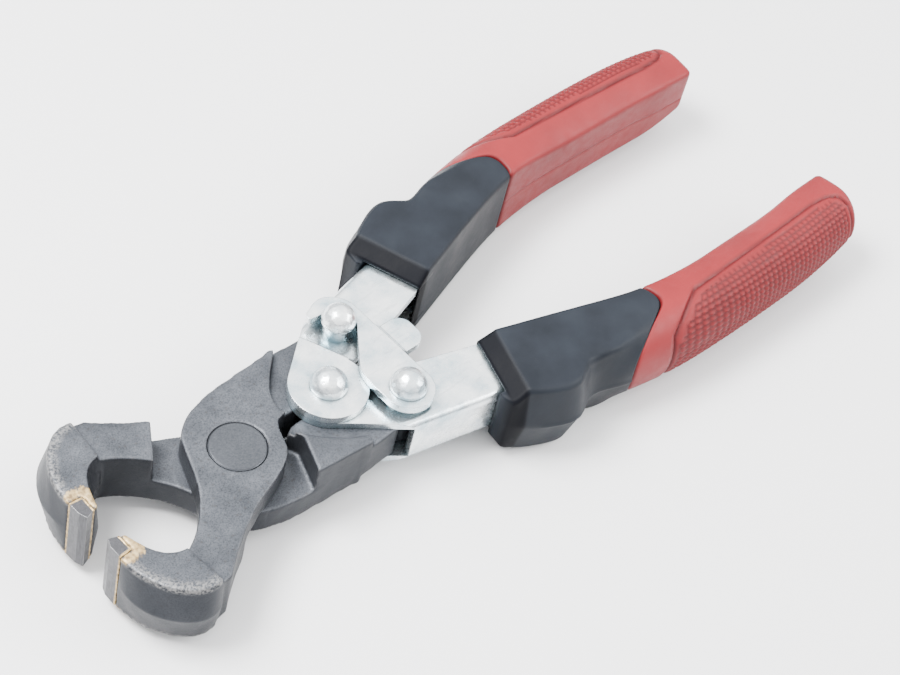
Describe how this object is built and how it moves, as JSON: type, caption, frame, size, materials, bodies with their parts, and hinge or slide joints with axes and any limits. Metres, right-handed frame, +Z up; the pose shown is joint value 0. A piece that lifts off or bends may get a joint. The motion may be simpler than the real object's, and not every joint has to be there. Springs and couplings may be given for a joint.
{
  "type": "tile nippers",
  "caption": "Compound-leverage tile nippers with carbide-tipped hooked jaws, U-channel handles, a swinging latch and two-colour soft grips.",
  "frame": {"origin": "centre of the tool's outline, on the level of its lowest point", "axes": "+X along the tool from the jaws to the grips, +Y towards the upper handle, +Z up out of the latch side"},
  "size_m": [0.2313, 0.085, 0.0284],
  "materials": {
    "forged_steel": "satin forged steel, slightly mottled, with a fine dark speckle",
    "carbide": "ground tungsten carbide, fine matte grind",
    "braze": "dull tan braze alloy, lumpy",
    "zinc_plate": "bright zinc-plated sheet steel with a faint blue tint",
    "zinc_rivet": "zinc-plated rivet heads, slightly hammered",
    "spring_steel": "oiled dark spring steel",
    "black_rubber": "satin black soft rubber",
    "red_shell": "smooth satin muted red moulded handle",
    "red_inlay": "soft muted red inlay with small raised cells"
  },
  "bodies": {
    "back_jaw": {"back_jaw": "forged_steel", "back_carbide_tip": "carbide", "back_braze_seam": "braze", "jaw_pivot_pin": "forged_steel"},
    "front_jaw": {"front_jaw": "forged_steel", "front_carbide_tip": "carbide", "front_braze_seam": "braze"},
    "upper_handle": {"upper_handle_channel": "zinc_plate", "upper_link_rivet": "zinc_rivet", "upper_collar": "black_rubber", "upper_grip": "red_shell", "upper_grip_inlay": "red_inlay"},
    "lower_handle": {"lower_handle_channel": "zinc_plate", "lower_link_rivet": "zinc_rivet", "handle_pivot_rivet": "zinc_rivet", "pivot_bush": "spring_steel", "return_spring": "spring_steel", "latch_spacer": "zinc_plate", "lower_collar": "black_rubber", "lower_grip": "red_shell", "lower_grip_inlay": "red_inlay"},
    "latch": {"latch_plate": "zinc_plate"}
  },
  "joints": [
    {"name": "jaw_pivot", "type": "hinge", "parent": "back_jaw", "child": "front_jaw", "pos_m": [-0.0731, 0, 0.0123], "axis": [0, 0, 1], "range_deg": [0, 9]},
    {"name": "upper_link", "type": "hinge", "parent": "front_jaw", "child": "upper_handle", "pos_m": [-0.0311, 0.0124, 0.0123], "axis": [0, 0, 1], "range_deg": [0, 10.8]},
    {"name": "lower_link", "type": "hinge", "parent": "back_jaw", "child": "lower_handle", "pos_m": [-0.0311, -0.0124, 0.0123], "axis": [0, 0, 1], "range_deg": [-10.8, 0]},
    {"name": "latch_pivot", "type": "hinge", "parent": "lower_handle", "child": "latch", "pos_m": [-0.0311, -0.0124, 0.0227], "axis": [0, 0, 1], "range_deg": [-45, 0]}
  ],
  "couplings": [
    {"joint": "upper_link", "follows": "jaw_pivot", "ratio": 1.2},
    {"joint": "lower_link", "follows": "jaw_pivot", "ratio": -1.2},
    {"joint": "latch_pivot", "follows": "jaw_pivot", "ratio": -5}
  ]
}
